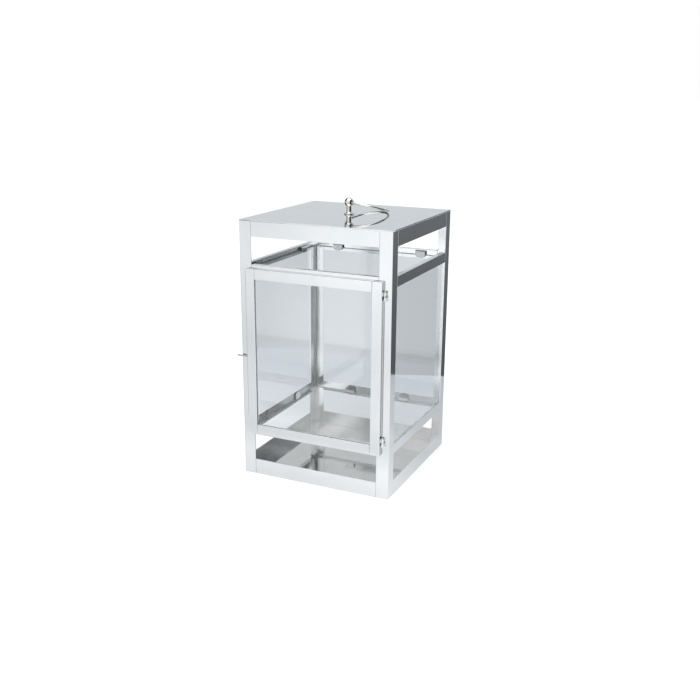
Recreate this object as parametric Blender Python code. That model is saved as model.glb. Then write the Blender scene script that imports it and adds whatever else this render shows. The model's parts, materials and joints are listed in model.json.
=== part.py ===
"""Square candle lantern: polished steel frame, four glass panes, a hinged front door and a ring handle.

Metres, +Z up. The origin is the centre of the base, on the surface the lantern stands on.
The door faces -Y and is hinged on its +X edge.
"""

import math

import bmesh
import bpy
from mathutils import Matrix, Vector

# Driving dimensions of the body.
WIDTH = 0.200
BODY_HEIGHT = 0.328
SHEET = 0.0012
GAP = 0.0003
POST_LEG = 0.016
BAND_HEIGHT = 0.020
RAIL_HEIGHT = 0.013
RAIL_INSET = 0.054
RAIL_FLANGE = 0.007

# Glass and the bent tabs that hold the fixed panes.
GLASS = 0.0025
PANE_HALF_WIDTH = 0.0955
PANE_TOP_GAP = 0.0070
CLIP_WIDTH = 0.014
CLIP_SHEET = 0.0008
CLIP_DROP = 0.0105
CLIP_CORNER = 0.0050
UPPER_CLIP_OFFSET = 0.061
LOWER_CLIP_OFFSET = 0.040

# Door.
DOOR_WIDTH = 0.180
DOOR_BOTTOM = 0.0575
DOOR_TOP = 0.2695
DOOR_DEPTH = 0.0052
DOOR_SHEET = 0.0008
DOOR_BORDER = 0.0125
DOOR_GLASS = 0.0026
DOOR_GLASS_BITE = 0.0065

# Door hinges.
HINGE_X = 0.0928
HINGE_Y = -0.1026
HINGE_END_DISTANCE = 0.0165
KNUCKLE_HEIGHT = 0.0052
KNUCKLE_RADIUS = 0.0016
KNUCKLE_BORE = 0.0010
HINGE_PIN_RADIUS = 0.0007
HINGE_PIN_HEAD_RADIUS = 0.0013
HINGE_PIN_HEAD = 0.0007
FRAME_LEAF_REACH = 0.0026
FRAME_LEAF = 0.0009
DOOR_LEAF = 0.0010
DOOR_LEAF_HALF_DEPTH = 0.0022
FRAME_LEAF_START = math.radians(115)

# Latch.
LATCH_Z = 0.158
LATCH_PIN_RADIUS = 0.0010
LATCH_PIN_REACH = 0.005
LATCH_PIN_Y = -0.1029
LATCH_PIN_HEAD_RADIUS = 0.0015
LATCH_PIN_HEAD = 0.0007
LATCH_PIVOT_Y = -0.0900
HOOK_SHEET = 0.0012
HOOK_EYE_RADIUS = 0.0030
HOOK_HEAD_RADIUS = 0.0034
HOOK_BAR_HALF_WIDTH = 0.0016
HOOK_SLOT_INNER = 0.0019
HOOK_SLOT_OUTER = 0.00135
HOOK_HEAD_END = math.radians(-24)
RIVET_RADIUS = 0.0010
RIVET_HEAD_RADIUS = 0.0022
RIVET_HEAD = 0.0009

# Handle.
BALL_HEIGHT = 0.0150
BALL_RADIUS = 0.0058
RING_RADIUS = 0.0277
RING_WIRE_RADIUS = 0.0014
RING_HOLE_RADIUS = 0.0022
RING_LEAN = math.radians(57)
STUD_RADIUS = 0.0025
STUD_LENGTH = 0.0078
FLANGE_RADIUS = 0.0064
FLANGE_HEIGHT = 0.0011
NECK_RADIUS = 0.0032
FLARE_RADIUS = 0.0024
FLARE_START = math.radians(-100)
WASHER_RADIUS = 0.0065
WASHER_HEIGHT = 0.0010
NUT_APOTHEM = 0.0045
NUT_HEIGHT = 0.0032

# Mesh density and limits of the round pieces.
CORNER_STEPS = 4
FLARE_STEPS = 5
SLOT_STEPS = 8
BALL_STEPS = 12
HEAD_STEPS = 14
SMALL_ROUND_STEPS = 16
FIXING_STEPS = 24
TURNED_STEPS = 28
RING_STEPS = 44
WIRE_STEPS = 10
SMOOTH_ANGLE = math.radians(35)
HEXAGON_ANGLE = math.radians(25)
SAME_PLACE = 1e-6

# Places worked out from the driving dimensions.
HALF = WIDTH / 2
ROOF_UNDERSIDE = BODY_HEIGHT - SHEET
FRAME_TOP = ROOF_UNDERSIDE - GAP
RAIL_HALF_LENGTH = HALF - POST_LEG - GAP
UPPER_RAIL_TOP = BODY_HEIGHT - RAIL_INSET
LOWER_RAIL_BOTTOM = RAIL_INSET
PANE_OUTER = HALF - SHEET - GAP
PANE_BOTTOM = LOWER_RAIL_BOTTOM + SHEET + 3 * GAP + CLIP_SHEET
PANE_TOP = UPPER_RAIL_TOP - SHEET - PANE_TOP_GAP
HINGE_LEVELS = {"upper": DOOR_TOP - HINGE_END_DISTANCE, "lower": DOOR_BOTTOM + HINGE_END_DISTANCE}
THROUGH_SHEET = 4 * SHEET
DOOR_BACK = -HALF - GAP
DOOR_FRONT = DOOR_BACK - DOOR_DEPTH
QUARTER_TURN = math.pi / 2
SIDE_TURNS = {side: index * QUARTER_TURN for index, side in enumerate(("front", "right", "back", "left"))}
POSTS = ("front_left", "front_right", "back_right", "back_left")
PANE_SIDES = ("right", "back", "left")
# Turns a shape made about Z so that its top points along +X.
ALONG_X = Matrix.Rotation(QUARTER_TURN, 4, "Y")


def clear_scene():
    for old in list(bpy.data.objects):
        bpy.data.objects.remove(old, do_unlink=True)


# ---------------------------------------------------------------- materials


def metal(name, colour, roughness):
    material = bpy.data.materials.new(name)
    material.use_nodes = True
    shader = material.node_tree.nodes["Principled BSDF"]
    shader.inputs["Base Color"].default_value = (*colour, 1.0)
    shader.inputs["Metallic"].default_value = 1.0
    shader.inputs["Roughness"].default_value = roughness
    return material


def polished_steel(name):
    return metal(name, (0.86, 0.88, 0.88), 0.12)


def mirror_steel(name):
    return metal(name, (0.80, 0.82, 0.84), 0.05)


def nickel(name):
    return metal(name, (0.78, 0.75, 0.70), 0.14)


def zinc(name):
    return metal(name, (0.62, 0.63, 0.65), 0.35)


def clear_glass(name):
    material = bpy.data.materials.new(name)
    material.use_nodes = True
    shader = material.node_tree.nodes["Principled BSDF"]
    shader.inputs["Base Color"].default_value = (0.86, 0.93, 0.94, 1.0)
    shader.inputs["Roughness"].default_value = 0.02
    shader.inputs["Transmission Weight"].default_value = 1.0
    shader.inputs["Alpha"].default_value = 0.35
    return material


# ---------------------------------------------------------------- mesh helpers


def finished_mesh(name, shape, smooth_angle=None):
    """Turns a bmesh into a mesh with its faces pointing out, smooth where a round needs it."""
    bmesh.ops.recalc_face_normals(shape, faces=shape.faces)
    mesh = bpy.data.meshes.new(name)
    shape.to_mesh(mesh)
    shape.free()
    if smooth_angle is not None:
        mesh.shade_smooth()
        mesh.set_sharp_from_angle(angle=smooth_angle)
    return mesh


def place(name, mesh, finish, location=(0, 0, 0), turn=0.0, parent=None):
    part = bpy.data.objects.new(name, mesh)
    if not mesh.materials:
        mesh.materials.append(finish(name + "_finish"))
    part.location = location
    part.rotation_euler.z = turn
    part.parent = parent
    bpy.context.scene.collection.objects.link(part)
    return part


def empty(name, location):
    marker = bpy.data.objects.new(name, None)
    marker.location = location
    bpy.context.scene.collection.objects.link(marker)
    return marker


def prism(outline, low, high, axes="xyz"):
    """Extrudes a flat outline; axes names the outline's two axes and then the extrusion's."""
    order = ["xyz".index(letter) for letter in axes]
    shape = bmesh.new()
    rings = []
    for level in (low, high):
        ring = []
        for point in outline:
            corner = [0.0, 0.0, 0.0]
            corner[order[0]], corner[order[1]], corner[order[2]] = point[0], point[1], level
            ring.append(shape.verts.new(corner))
        rings.append(ring)
    shape.faces.new(rings[0])
    shape.faces.new(rings[1])
    for index, start in enumerate(rings[0]):
        after = (index + 1) % len(outline)
        shape.faces.new((start, rings[0][after], rings[1][after], rings[1][index]))
    return shape


def box(low, high):
    outline = [(low[0], low[1]), (high[0], low[1]), (high[0], high[1]), (low[0], high[1])]
    return prism(outline, low[2], high[2])


def arc(centre, radius, start, end, steps):
    """Points along an arc, both ends included."""
    points = []
    for step in range(steps + 1):
        angle = start + (end - start) * step / steps
        points.append((centre[0] + radius * math.cos(angle), centre[1] + radius * math.sin(angle)))
    return points


def spin(shape, centre, steps):
    """Sweeps everything in the shape once round a vertical axis."""
    bmesh.ops.spin(
        shape,
        geom=list(shape.verts) + list(shape.edges),
        cent=centre,
        axis=(0, 0, 1),
        angle=2 * math.pi,
        steps=steps,
        use_merge=True,
    )
    bmesh.ops.remove_doubles(shape, verts=shape.verts, dist=SAME_PLACE)


def turned(profile, steps):
    """Spins an open profile of (radius, height) points, whose ends lie on the axis, about Z."""
    shape = bmesh.new()
    points = [shape.verts.new((radius, 0.0, height)) for radius, height in profile]
    for pair in zip(points, points[1:]):
        shape.edges.new(pair)
    spin(shape, (0, 0, 0), steps)
    return shape


def rod_profile(rings):
    """Profile of a stepped rod: (radius, low, high) for each step, from the bottom up."""
    points = [(0.0, rings[0][1])]
    for radius, low, high in rings:
        points += [(radius, low), (radius, high)]
    return points + [(0.0, rings[-1][2])]


def tube(outer_at, inner, low, high, steps):
    """A round hole in a piece whose outer radius depends on the angle."""
    def inner_at(_):
        return inner

    shape = bmesh.new()
    loops = []
    for radius_at, level in ((outer_at, low), (outer_at, high), (inner_at, high), (inner_at, low)):
        loop = []
        for step in range(steps):
            angle = 2 * math.pi * step / steps
            radius = radius_at(angle)
            loop.append(shape.verts.new((radius * math.cos(angle), radius * math.sin(angle), level)))
        loops.append(loop)
    for loop, following in zip(loops, loops[1:] + loops[:1]):
        for step in range(steps):
            after = (step + 1) % steps
            shape.faces.new((loop[step], loop[after], following[after], following[step]))
    return shape


def cylinder_cutter(name, centre, direction, radius, length):
    """A hidden rod that a Boolean takes out of a piece."""
    shape = turned(rod_profile([(radius, -length / 2, length / 2)]), SMALL_ROUND_STEPS)
    facing = Vector((0, 0, 1)).rotation_difference(Vector(direction)).to_matrix().to_4x4()
    shape.transform(Matrix.Translation(centre) @ facing)
    cutter = place(name, finished_mesh(name, shape), zinc)
    cutter.hide_render = True
    cutter.display_type = "WIRE"
    return cutter


def cut(part, cutter):
    boolean = part.modifiers.new("hole", "BOOLEAN")
    boolean.operation = "DIFFERENCE"
    boolean.solver = "EXACT"
    boolean.object = cutter


# ---------------------------------------------------------------- body frame


def build_posts():
    """Four angle-section corner posts, each with its legs along two faces of the lantern."""
    outline = [(0, 0), (POST_LEG, 0), (POST_LEG, SHEET), (SHEET, SHEET), (SHEET, POST_LEG), (0, POST_LEG)]
    outline = [(x - HALF, y - HALF) for x, y in outline]
    for index, corner in enumerate(POSTS):
        name = "corner_post_" + corner
        mesh = finished_mesh(name, prism(outline, 0.0, FRAME_TOP))
        post = place(name, mesh, polished_steel, turn=index * QUARTER_TURN)
        if corner == "front_left":
            centre = (-HALF + SHEET / 2, LATCH_PIVOT_Y, LATCH_Z)
            hole_radius = RIVET_RADIUS + GAP
            cut(post, cylinder_cutter("rivet_hole_cutter", centre, (1, 0, 0), hole_radius, THROUGH_SHEET))


def build_bands(name, low, high):
    """Flat strips between the posts, one on each side."""
    for side, turn in SIDE_TURNS.items():
        strip = box((-RAIL_HALF_LENGTH, -HALF, low), (RAIL_HALF_LENGTH, -HALF + SHEET, high))
        part_name = name + "_" + side
        place(part_name, finished_mesh(part_name, strip), polished_steel, turn=turn)


def rail_outline(edge, into):
    """Angle section: its flange is at height edge, and its leg runs up (into = 1) or down (-1) from there."""
    return [
        (-HALF, edge),
        (-HALF + RAIL_FLANGE, edge),
        (-HALF + RAIL_FLANGE, edge + into * SHEET),
        (-HALF + SHEET, edge + into * SHEET),
        (-HALF + SHEET, edge + into * RAIL_HEIGHT),
        (-HALF, edge + into * RAIL_HEIGHT),
    ]


def build_rails(name, edge, into):
    for side, turn in SIDE_TURNS.items():
        shape = prism(rail_outline(edge, into), -RAIL_HALF_LENGTH, RAIL_HALF_LENGTH, "yzx")
        part_name = name + "_" + side
        place(part_name, finished_mesh(part_name, shape), polished_steel, turn=turn)


def build_roof():
    shape = box((-HALF, -HALF, ROOF_UNDERSIDE), (HALF, HALF, BODY_HEIGHT))
    roof = place("roof_plate", finished_mesh("roof_plate", shape), mirror_steel)
    centre = (0, 0, BODY_HEIGHT - SHEET / 2)
    cut(roof, cylinder_cutter("stud_hole_cutter", centre, (0, 0, 1), STUD_RADIUS + GAP, THROUGH_SHEET))


def build_base():
    shape = box((-PANE_OUTER, -PANE_OUTER, 0.0), (PANE_OUTER, PANE_OUTER, SHEET))
    place("base_plate", finished_mesh("base_plate", shape), mirror_steel)


# ---------------------------------------------------------------- fixed glass


def build_panes():
    for side in PANE_SIDES:
        name = "glass_" + side
        low = (-PANE_HALF_WIDTH, -PANE_OUTER, PANE_BOTTOM)
        high = (PANE_HALF_WIDTH, -PANE_OUTER + GLASS, PANE_TOP)
        place(name, finished_mesh(name, box(low, high)), clear_glass, turn=SIDE_TURNS[side])


def clip_shape(offset, edge, into):
    """A tab with a foot on the rail's flange and a leg with round corners over the pane's inner face."""
    foot = edge + into * (SHEET + GAP)
    outer = -HALF + SHEET + GAP
    inner = -PANE_OUTER + GLASS + GAP + CLIP_SHEET
    outline = [
        (outer, foot),
        (inner, foot),
        (inner, foot + into * CLIP_DROP),
        (inner - CLIP_SHEET, foot + into * CLIP_DROP),
        (inner - CLIP_SHEET, foot + into * CLIP_SHEET),
        (outer, foot + into * CLIP_SHEET),
    ]
    shape = prism(outline, offset - CLIP_WIDTH / 2, offset + CLIP_WIDTH / 2, "yzx")
    end = foot + into * CLIP_DROP
    corners = [
        edge_line
        for edge_line in shape.edges
        if all(abs(point.co.z - end) < SAME_PLACE for point in edge_line.verts)
        and abs(edge_line.verts[0].co.x - edge_line.verts[1].co.x) < SAME_PLACE
    ]
    bmesh.ops.bevel(
        shape, geom=corners, offset=CLIP_CORNER, segments=CORNER_STEPS, profile=0.5, affect="EDGES"
    )
    return shape


def build_clips():
    """Two tabs on each rail of each fixed pane."""
    levels = (
        ("upper", UPPER_RAIL_TOP, -1, UPPER_CLIP_OFFSET),
        ("lower", LOWER_RAIL_BOTTOM, 1, LOWER_CLIP_OFFSET),
    )
    for side in PANE_SIDES:
        for level, edge, into, distance in levels:
            for number, offset in enumerate((-distance, distance), start=1):
                name = "glass_clip_{}_{}_{}".format(side, level, number)
                mesh = finished_mesh(name, clip_shape(offset, edge, into))
                place(name, mesh, polished_steel, turn=SIDE_TURNS[side])


# ---------------------------------------------------------------- handle


def post_profile():
    """Profile of the turned post: a stud below the roof, a thin flange, a flared foot, a neck and a ball."""
    foot_top = GAP + FLANGE_HEIGHT
    flare_centre = (NECK_RADIUS + FLARE_RADIUS, foot_top + FLARE_RADIUS)
    flare = arc(flare_centre, FLARE_RADIUS, FLARE_START, -math.pi, FLARE_STEPS)
    neck_angle = math.acos(NECK_RADIUS / BALL_RADIUS)
    ball = arc((0, BALL_HEIGHT), BALL_RADIUS, -neck_angle, QUARTER_TURN, BALL_STEPS)
    return (
        [(0.0, -STUD_LENGTH), (STUD_RADIUS, -STUD_LENGTH), (STUD_RADIUS, GAP), (FLANGE_RADIUS, GAP)]
        + [(FLANGE_RADIUS, foot_top)]
        + flare
        + ball[:-1]
        + [(0.0, BALL_HEIGHT + BALL_RADIUS)]
    )


def build_handle_post():
    shape = turned(post_profile(), TURNED_STEPS)
    mesh = finished_mesh("handle_post", shape, SMOOTH_ANGLE)
    post = place("handle_post", mesh, nickel, location=(0, 0, BODY_HEIGHT))
    axis = (-math.sin(RING_LEAN), math.cos(RING_LEAN), 0)
    centre = (0, 0, BODY_HEIGHT + BALL_HEIGHT)
    cut(post, cylinder_cutter("ring_hole_cutter", centre, axis, RING_HOLE_RADIUS, 4 * BALL_RADIUS))


def hexagon_radius(apothem):
    def radius_at(angle):
        return apothem / math.cos((angle % (math.pi / 3)) - math.pi / 6)

    return radius_at


def build_handle_fixings():
    """Washer and hexagon nut on the stud, under the roof."""
    bore = STUD_RADIUS + GAP
    washer_top = ROOF_UNDERSIDE - GAP
    washer = tube(lambda _: WASHER_RADIUS, bore, washer_top - WASHER_HEIGHT, washer_top, FIXING_STEPS)
    place("handle_washer", finished_mesh("handle_washer", washer, SMOOTH_ANGLE), zinc)
    nut_top = washer_top - WASHER_HEIGHT - GAP
    nut = tube(hexagon_radius(NUT_APOTHEM), bore, nut_top - NUT_HEIGHT, nut_top, FIXING_STEPS)
    place("handle_nut", finished_mesh("handle_nut", nut, HEXAGON_ANGLE), zinc)


def build_ring():
    """A round wire ring that passes through the ball and leans until it lies on the roof."""
    drop = BALL_HEIGHT - RING_WIRE_RADIUS - GAP
    tilt = math.asin(drop / (2 * RING_RADIUS))
    shape = bmesh.new()
    circle = bmesh.ops.create_circle(shape, segments=WIRE_STEPS, radius=RING_WIRE_RADIUS, cap_ends=False)
    upright = Matrix.Rotation(QUARTER_TURN, 4, "X")
    bmesh.ops.transform(shape, matrix=upright, verts=circle["verts"])
    spin(shape, (RING_RADIUS, 0, 0), RING_STEPS)
    mesh = finished_mesh("handle_ring", shape)
    mesh.shade_smooth()
    pivot = empty("ring_pivot", (0, 0, BODY_HEIGHT + BALL_HEIGHT))
    pivot.rotation_euler.z = RING_LEAN
    ring = place("handle_ring", mesh, nickel, parent=pivot)
    ring.rotation_euler.y = tilt


# ---------------------------------------------------------------- door


def channel_outline(outer, inward):
    """Folded channel with its web at outer and its flanges reaching DOOR_BORDER the inward way (-1 or 1)."""
    web = outer + inward * DOOR_SHEET
    edge = outer + inward * DOOR_BORDER
    return [
        (outer, DOOR_FRONT),
        (edge, DOOR_FRONT),
        (edge, DOOR_FRONT + DOOR_SHEET),
        (web, DOOR_FRONT + DOOR_SHEET),
        (web, DOOR_BACK - DOOR_SHEET),
        (edge, DOOR_BACK - DOOR_SHEET),
        (edge, DOOR_BACK),
        (outer, DOOR_BACK),
    ]


def build_door(pivot):
    """Two full-height stiles, two rails between them and a pane in the channels."""
    shift = -pivot.location
    half = DOOR_WIDTH / 2
    rail_half = half - DOOR_BORDER - GAP
    pieces = {
        "door_stile_latch": prism(channel_outline(-half, 1), DOOR_BOTTOM, DOOR_TOP, "xyz"),
        "door_stile_hinge": prism(channel_outline(half, -1), DOOR_BOTTOM, DOOR_TOP, "xyz"),
        "door_rail_top": prism(channel_outline(DOOR_TOP, -1), -rail_half, rail_half, "zyx"),
        "door_rail_bottom": prism(channel_outline(DOOR_BOTTOM, 1), -rail_half, rail_half, "zyx"),
    }
    for name, shape in pieces.items():
        shape.transform(Matrix.Translation(shift))
        stile = place(name, finished_mesh(name, shape), polished_steel, parent=pivot)
        if name == "door_stile_latch":
            centre = (-half + DOOR_SHEET / 2, LATCH_PIN_Y, LATCH_Z)
            hole_radius = LATCH_PIN_RADIUS + GAP
            cut(stile, cylinder_cutter("pin_hole_cutter", centre, (1, 0, 0), hole_radius, THROUGH_SHEET))
    glass_half = half - DOOR_GLASS_BITE
    middle = (DOOR_FRONT + DOOR_BACK) / 2
    low = (-glass_half, middle - DOOR_GLASS / 2, DOOR_BOTTOM + DOOR_GLASS_BITE)
    high = (glass_half, middle + DOOR_GLASS / 2, DOOR_TOP - DOOR_GLASS_BITE)
    pane = box(low, high)
    pane.transform(Matrix.Translation(shift))
    place("door_glass", finished_mesh("door_glass", pane), clear_glass, parent=pivot)


def frame_knuckle_outline():
    """Barrel with a leaf that lies along the post's front face, about the hinge axis."""
    leaf_back = -HALF - HINGE_Y - GAP
    leaf_front = leaf_back - FRAME_LEAF
    meets = 2 * math.pi + math.asin(leaf_front / KNUCKLE_RADIUS)
    barrel = arc((0, 0), KNUCKLE_RADIUS, FRAME_LEAF_START, meets, SMALL_ROUND_STEPS)
    return barrel + [
        (FRAME_LEAF_REACH, leaf_front),
        (FRAME_LEAF_REACH, leaf_back),
        (-KNUCKLE_RADIUS / 2, leaf_back),
    ]


def door_knuckle_outline():
    """Barrel with a leaf that lies along the door's hinge edge, about the hinge axis."""
    leaf_outer = DOOR_WIDTH / 2 + GAP - HINGE_X
    leaf_inner = leaf_outer + DOOR_LEAF
    meets = math.acos(leaf_inner / KNUCKLE_RADIUS)
    barrel = arc((0, 0), KNUCKLE_RADIUS, -meets, meets, SMALL_ROUND_STEPS)
    return barrel + [
        (leaf_inner, DOOR_LEAF_HALF_DEPTH),
        (leaf_outer, DOOR_LEAF_HALF_DEPTH),
        (leaf_outer, -DOOR_LEAF_HALF_DEPTH),
        (leaf_inner, -DOOR_LEAF_HALF_DEPTH),
    ]


def build_hinges(pivot):
    """Two barrel hinges: the door's knuckle sits on the frame's, with a headed pin through both."""
    for level, middle in HINGE_LEVELS.items():
        at = Vector((HINGE_X, HINGE_Y, middle))
        cutter_name = "hinge_bore_cutter_" + level
        bore = cylinder_cutter(cutter_name, at, (0, 0, 1), KNUCKLE_BORE, 4 * KNUCKLE_HEIGHT)

        low = -GAP / 2 - KNUCKLE_HEIGHT
        name = "hinge_frame_knuckle_" + level
        mesh = finished_mesh(name, prism(frame_knuckle_outline(), low, -GAP / 2), SMOOTH_ANGLE)
        cut(place(name, mesh, polished_steel, location=at), bore)

        high = GAP / 2 + KNUCKLE_HEIGHT
        name = "hinge_door_knuckle_" + level
        mesh = finished_mesh(name, prism(door_knuckle_outline(), GAP / 2, high), SMOOTH_ANGLE)
        cut(place(name, mesh, polished_steel, location=at - pivot.location, parent=pivot), bore)

        steps = [
            (HINGE_PIN_HEAD_RADIUS, low - GAP - HINGE_PIN_HEAD, low - GAP),
            (HINGE_PIN_RADIUS, low - GAP, high + GAP),
            (HINGE_PIN_HEAD_RADIUS, high + GAP, high + GAP + HINGE_PIN_HEAD),
        ]
        name = "hinge_pin_" + level
        pin = turned(rod_profile(steps), SMALL_ROUND_STEPS)
        place(name, finished_mesh(name, pin, SMOOTH_ANGLE), nickel, location=at)


# ---------------------------------------------------------------- latch


def build_latch_pin(pivot):
    """A pin from the door's free edge that crosses the post's front face and stands out past its side."""
    web_inside = -DOOR_WIDTH / 2 + DOOR_SHEET + GAP
    tip = -HALF - LATCH_PIN_REACH
    head = (LATCH_PIN_HEAD_RADIUS, web_inside, web_inside + LATCH_PIN_HEAD)
    round_end = LATCH_PIN_RADIUS / 2
    profile = rod_profile([(round_end, tip, tip), (LATCH_PIN_RADIUS, tip + round_end, web_inside), head])
    shape = turned(profile, SMALL_ROUND_STEPS)
    at = Vector((0, LATCH_PIN_Y, LATCH_Z)) - pivot.location
    shape.transform(Matrix.Translation(at) @ ALONG_X)
    place("door_latch_pin", finished_mesh("door_latch_pin", shape, SMOOTH_ANGLE), nickel, parent=pivot)


def hook_outline():
    """Hook hanging straight down from its eye; its slot opens towards the back of the lantern.

    The two coordinates are (y, z) about the pivot. Turned three quarters of the way round the back,
    it points forward with the slot open downwards, over the door's pin.
    """
    reach = LATCH_PIVOT_Y - LATCH_PIN_Y
    eye_meets = math.asin(HOOK_BAR_HALF_WIDTH / HOOK_EYE_RADIUS)
    head_meets = math.asin(HOOK_BAR_HALF_WIDTH / HOOK_HEAD_RADIUS)
    below = -QUARTER_TURN
    above = QUARTER_TURN
    full = 2 * math.pi
    eye = arc((0, 0), HOOK_EYE_RADIUS, below + eye_meets, below + full - eye_meets, SMALL_ROUND_STEPS)
    head = arc((0, -reach), HOOK_HEAD_RADIUS, above + head_meets, full + HOOK_HEAD_END, HEAD_STEPS)
    slot_outer = -reach - HOOK_SLOT_OUTER
    slot_inner = -reach + HOOK_SLOT_INNER
    slot_middle = (slot_outer + slot_inner) / 2
    slot = arc((0, slot_middle), (slot_inner - slot_outer) / 2, below + full, above, SLOT_STEPS)
    slot_mouth = math.sqrt(HOOK_HEAD_RADIUS**2 - HOOK_SLOT_OUTER**2)
    shoulder = math.sqrt(HOOK_HEAD_RADIUS**2 - HOOK_SLOT_INNER**2)
    head = head + [(slot_mouth, slot_outer)]
    lip = [(shoulder, slot_inner), (HOOK_BAR_HALF_WIDTH, -reach + HOOK_HEAD_RADIUS)]
    return eye + head + slot + lip


def build_hook():
    """The hook swings on a rivet whose peened end is flush with the inside of the post."""
    pivot = empty("latch_pivot", (-HALF, LATCH_PIVOT_Y, LATCH_Z))
    outside = -GAP - HOOK_SHEET
    mesh = finished_mesh("latch_hook", prism(hook_outline(), outside, -GAP, "yzx"), SMOOTH_ANGLE)
    hook = place("latch_hook", mesh, polished_steel, parent=pivot)
    hole_radius = RIVET_RADIUS + GAP
    cut(hook, cylinder_cutter("hook_eye_cutter", pivot.location, (1, 0, 0), hole_radius, 2 * THROUGH_SHEET))
    head_under = -HALF + outside - GAP
    steps = [
        (RIVET_HEAD_RADIUS, head_under - RIVET_HEAD, head_under),
        (RIVET_RADIUS, head_under, -HALF + SHEET),
    ]
    shape = turned(rod_profile(steps), SMALL_ROUND_STEPS)
    shape.transform(Matrix.Translation((0, LATCH_PIVOT_Y, LATCH_Z)) @ ALONG_X)
    place("latch_rivet", finished_mesh("latch_rivet", shape, SMOOTH_ANGLE), nickel)


def build_lantern():
    clear_scene()
    build_posts()
    build_bands("top_band", BODY_HEIGHT - BAND_HEIGHT, FRAME_TOP)
    build_rails("upper_rail", UPPER_RAIL_TOP, -1)
    build_rails("lower_rail", LOWER_RAIL_BOTTOM, 1)
    build_bands("bottom_band", 0.0, BAND_HEIGHT)
    build_roof()
    build_base()
    build_panes()
    build_clips()
    build_handle_post()
    build_handle_fixings()
    build_ring()
    door_pivot = empty("door_pivot", (HINGE_X, HINGE_Y, 0.0))
    bpy.context.view_layer.update()
    build_door(door_pivot)
    build_hinges(door_pivot)
    build_latch_pin(door_pivot)
    build_hook()


build_lantern()
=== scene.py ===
"""Looks of the candle lantern: bent steel sheet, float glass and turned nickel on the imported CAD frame."""

import json
import math

import bmesh
import bpy
from mathutils import Matrix, Vector


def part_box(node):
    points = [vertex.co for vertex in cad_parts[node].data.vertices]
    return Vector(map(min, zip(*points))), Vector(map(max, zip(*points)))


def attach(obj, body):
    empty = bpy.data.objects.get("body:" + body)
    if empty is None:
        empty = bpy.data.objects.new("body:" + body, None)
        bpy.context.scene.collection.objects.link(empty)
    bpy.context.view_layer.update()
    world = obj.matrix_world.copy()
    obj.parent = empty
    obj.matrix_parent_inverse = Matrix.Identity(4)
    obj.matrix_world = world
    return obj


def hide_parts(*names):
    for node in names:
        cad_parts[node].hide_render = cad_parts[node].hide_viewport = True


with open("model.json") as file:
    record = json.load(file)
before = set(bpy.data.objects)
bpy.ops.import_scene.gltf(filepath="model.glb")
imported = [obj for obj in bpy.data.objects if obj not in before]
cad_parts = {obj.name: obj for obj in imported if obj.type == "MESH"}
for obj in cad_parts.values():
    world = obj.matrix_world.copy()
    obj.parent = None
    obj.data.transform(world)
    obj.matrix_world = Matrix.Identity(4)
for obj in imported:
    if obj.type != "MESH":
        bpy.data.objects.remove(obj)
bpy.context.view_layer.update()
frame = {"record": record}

# ---------------------------------------------------------------- sizes, in metres

# Sheet metal: a cut edge is broken, a fold is round outside and nearly sharp inside.
SHEET_EDGE = 0.00016
PLATE_CORNER = 0.0008
BEND_OUTER = 0.0011
BEND_INNER = 0.0003
FLANGE_REACH = 0.0070
POST_LEG = 0.0160
DOOR_SHEET = 0.0008
ROLLED_EDGE = 0.00038
CLIP_SHEET = 0.0008
CLIP_CORNER = 0.0050
CLIP_BEND = 0.0010

# Glass.
GLASS_CORNER = 0.0006
GROUND_CHAMFER = 0.0004

# Handle.
FLANGE_RADIUS = 0.0064
FLANGE_LOW = 0.0003
FLANGE_HIGH = 0.0014
NECK_RADIUS = 0.0032
FLARE_RADIUS = 0.0024
BALL_RADIUS = 0.0058
BALL_HEIGHT = 0.0150
RING_HOLE = 0.0022
HOLE_LIP = 0.0005
RING_WIRE = 0.0014
STUD_RADIUS = 0.0025
THREAD_PITCH = 0.0008
THREAD_DEPTH = 0.0004
STUD_BORE = 0.0028
FLARE_START = math.radians(-100)
BALL_TOP = math.radians(89.5)

# Small fittings.
ROUND_EDGE = 0.0002
PIN_RADIUS = 0.0007
LATCH_PIN_RADIUS = 0.0010
RIVET_SHANK = 0.0010
RUNNING_GAP = 0.0003
KNUCKLE_RADIUS = 0.0016
FRAME_LEAF = 0.0009
DOOR_LEAF = 0.0010
HOOK_EYE = 0.0030
HOOK_HEAD = 0.0034
HOOK_BAR = 0.0016
HOOK_SLOT_INNER = 0.0019
HOOK_SLOT_OUTER = 0.00135
HOOK_HEAD_END = math.radians(-24)
BARREL_START = math.radians(115)
PIN_CAP_SHARE = 0.0625
PIN_CAP_DOME = 0.8
LATCH_PIN_DOME = 0.7

# Mesh density.
EDGE_STEPS = 2
BEND_STEPS = 6
TURN_STEPS = 72
RING_STEPS = 144
WIRE_STEPS = 28
PLATE_STEPS = 64
ARC_STEPS = 24
SHARP = math.radians(40)

# Tolerances: the radius that stands for a point, the distance from a web, and an upward normal.
TINY = 0.00001
ON_WEB = 0.000001
FACES_UP = 0.9

QUARTER = math.pi / 2
SIDES = ("front", "right", "back", "left")
POSTS = ("front_left", "front_right", "back_right", "back_left")
SQUARE = ((-1, -1), (1, -1), (1, 1), (-1, 1))


def low_high(name):
    low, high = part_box(name)
    return Vector(low), Vector(high)


BASE_LOW, BASE_HIGH = low_high("base_plate")
ROOF_LOW, ROOF_HIGH = low_high("roof_plate")
SHEET = ROOF_HIGH.z - ROOF_LOW.z
HALF = ROOF_HIGH.x
ROOF_TOP = ROOF_HIGH.z
JOINTS = {joint["name"]: joint for joint in frame["record"]["behaviour"]["joints"]}

# ---------------------------------------------------------------- material nodes


def new_material(name):
    material = bpy.data.materials.new(name)
    material.use_nodes = True
    return material, material.node_tree, material.node_tree.nodes["Principled BSDF"]


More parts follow.
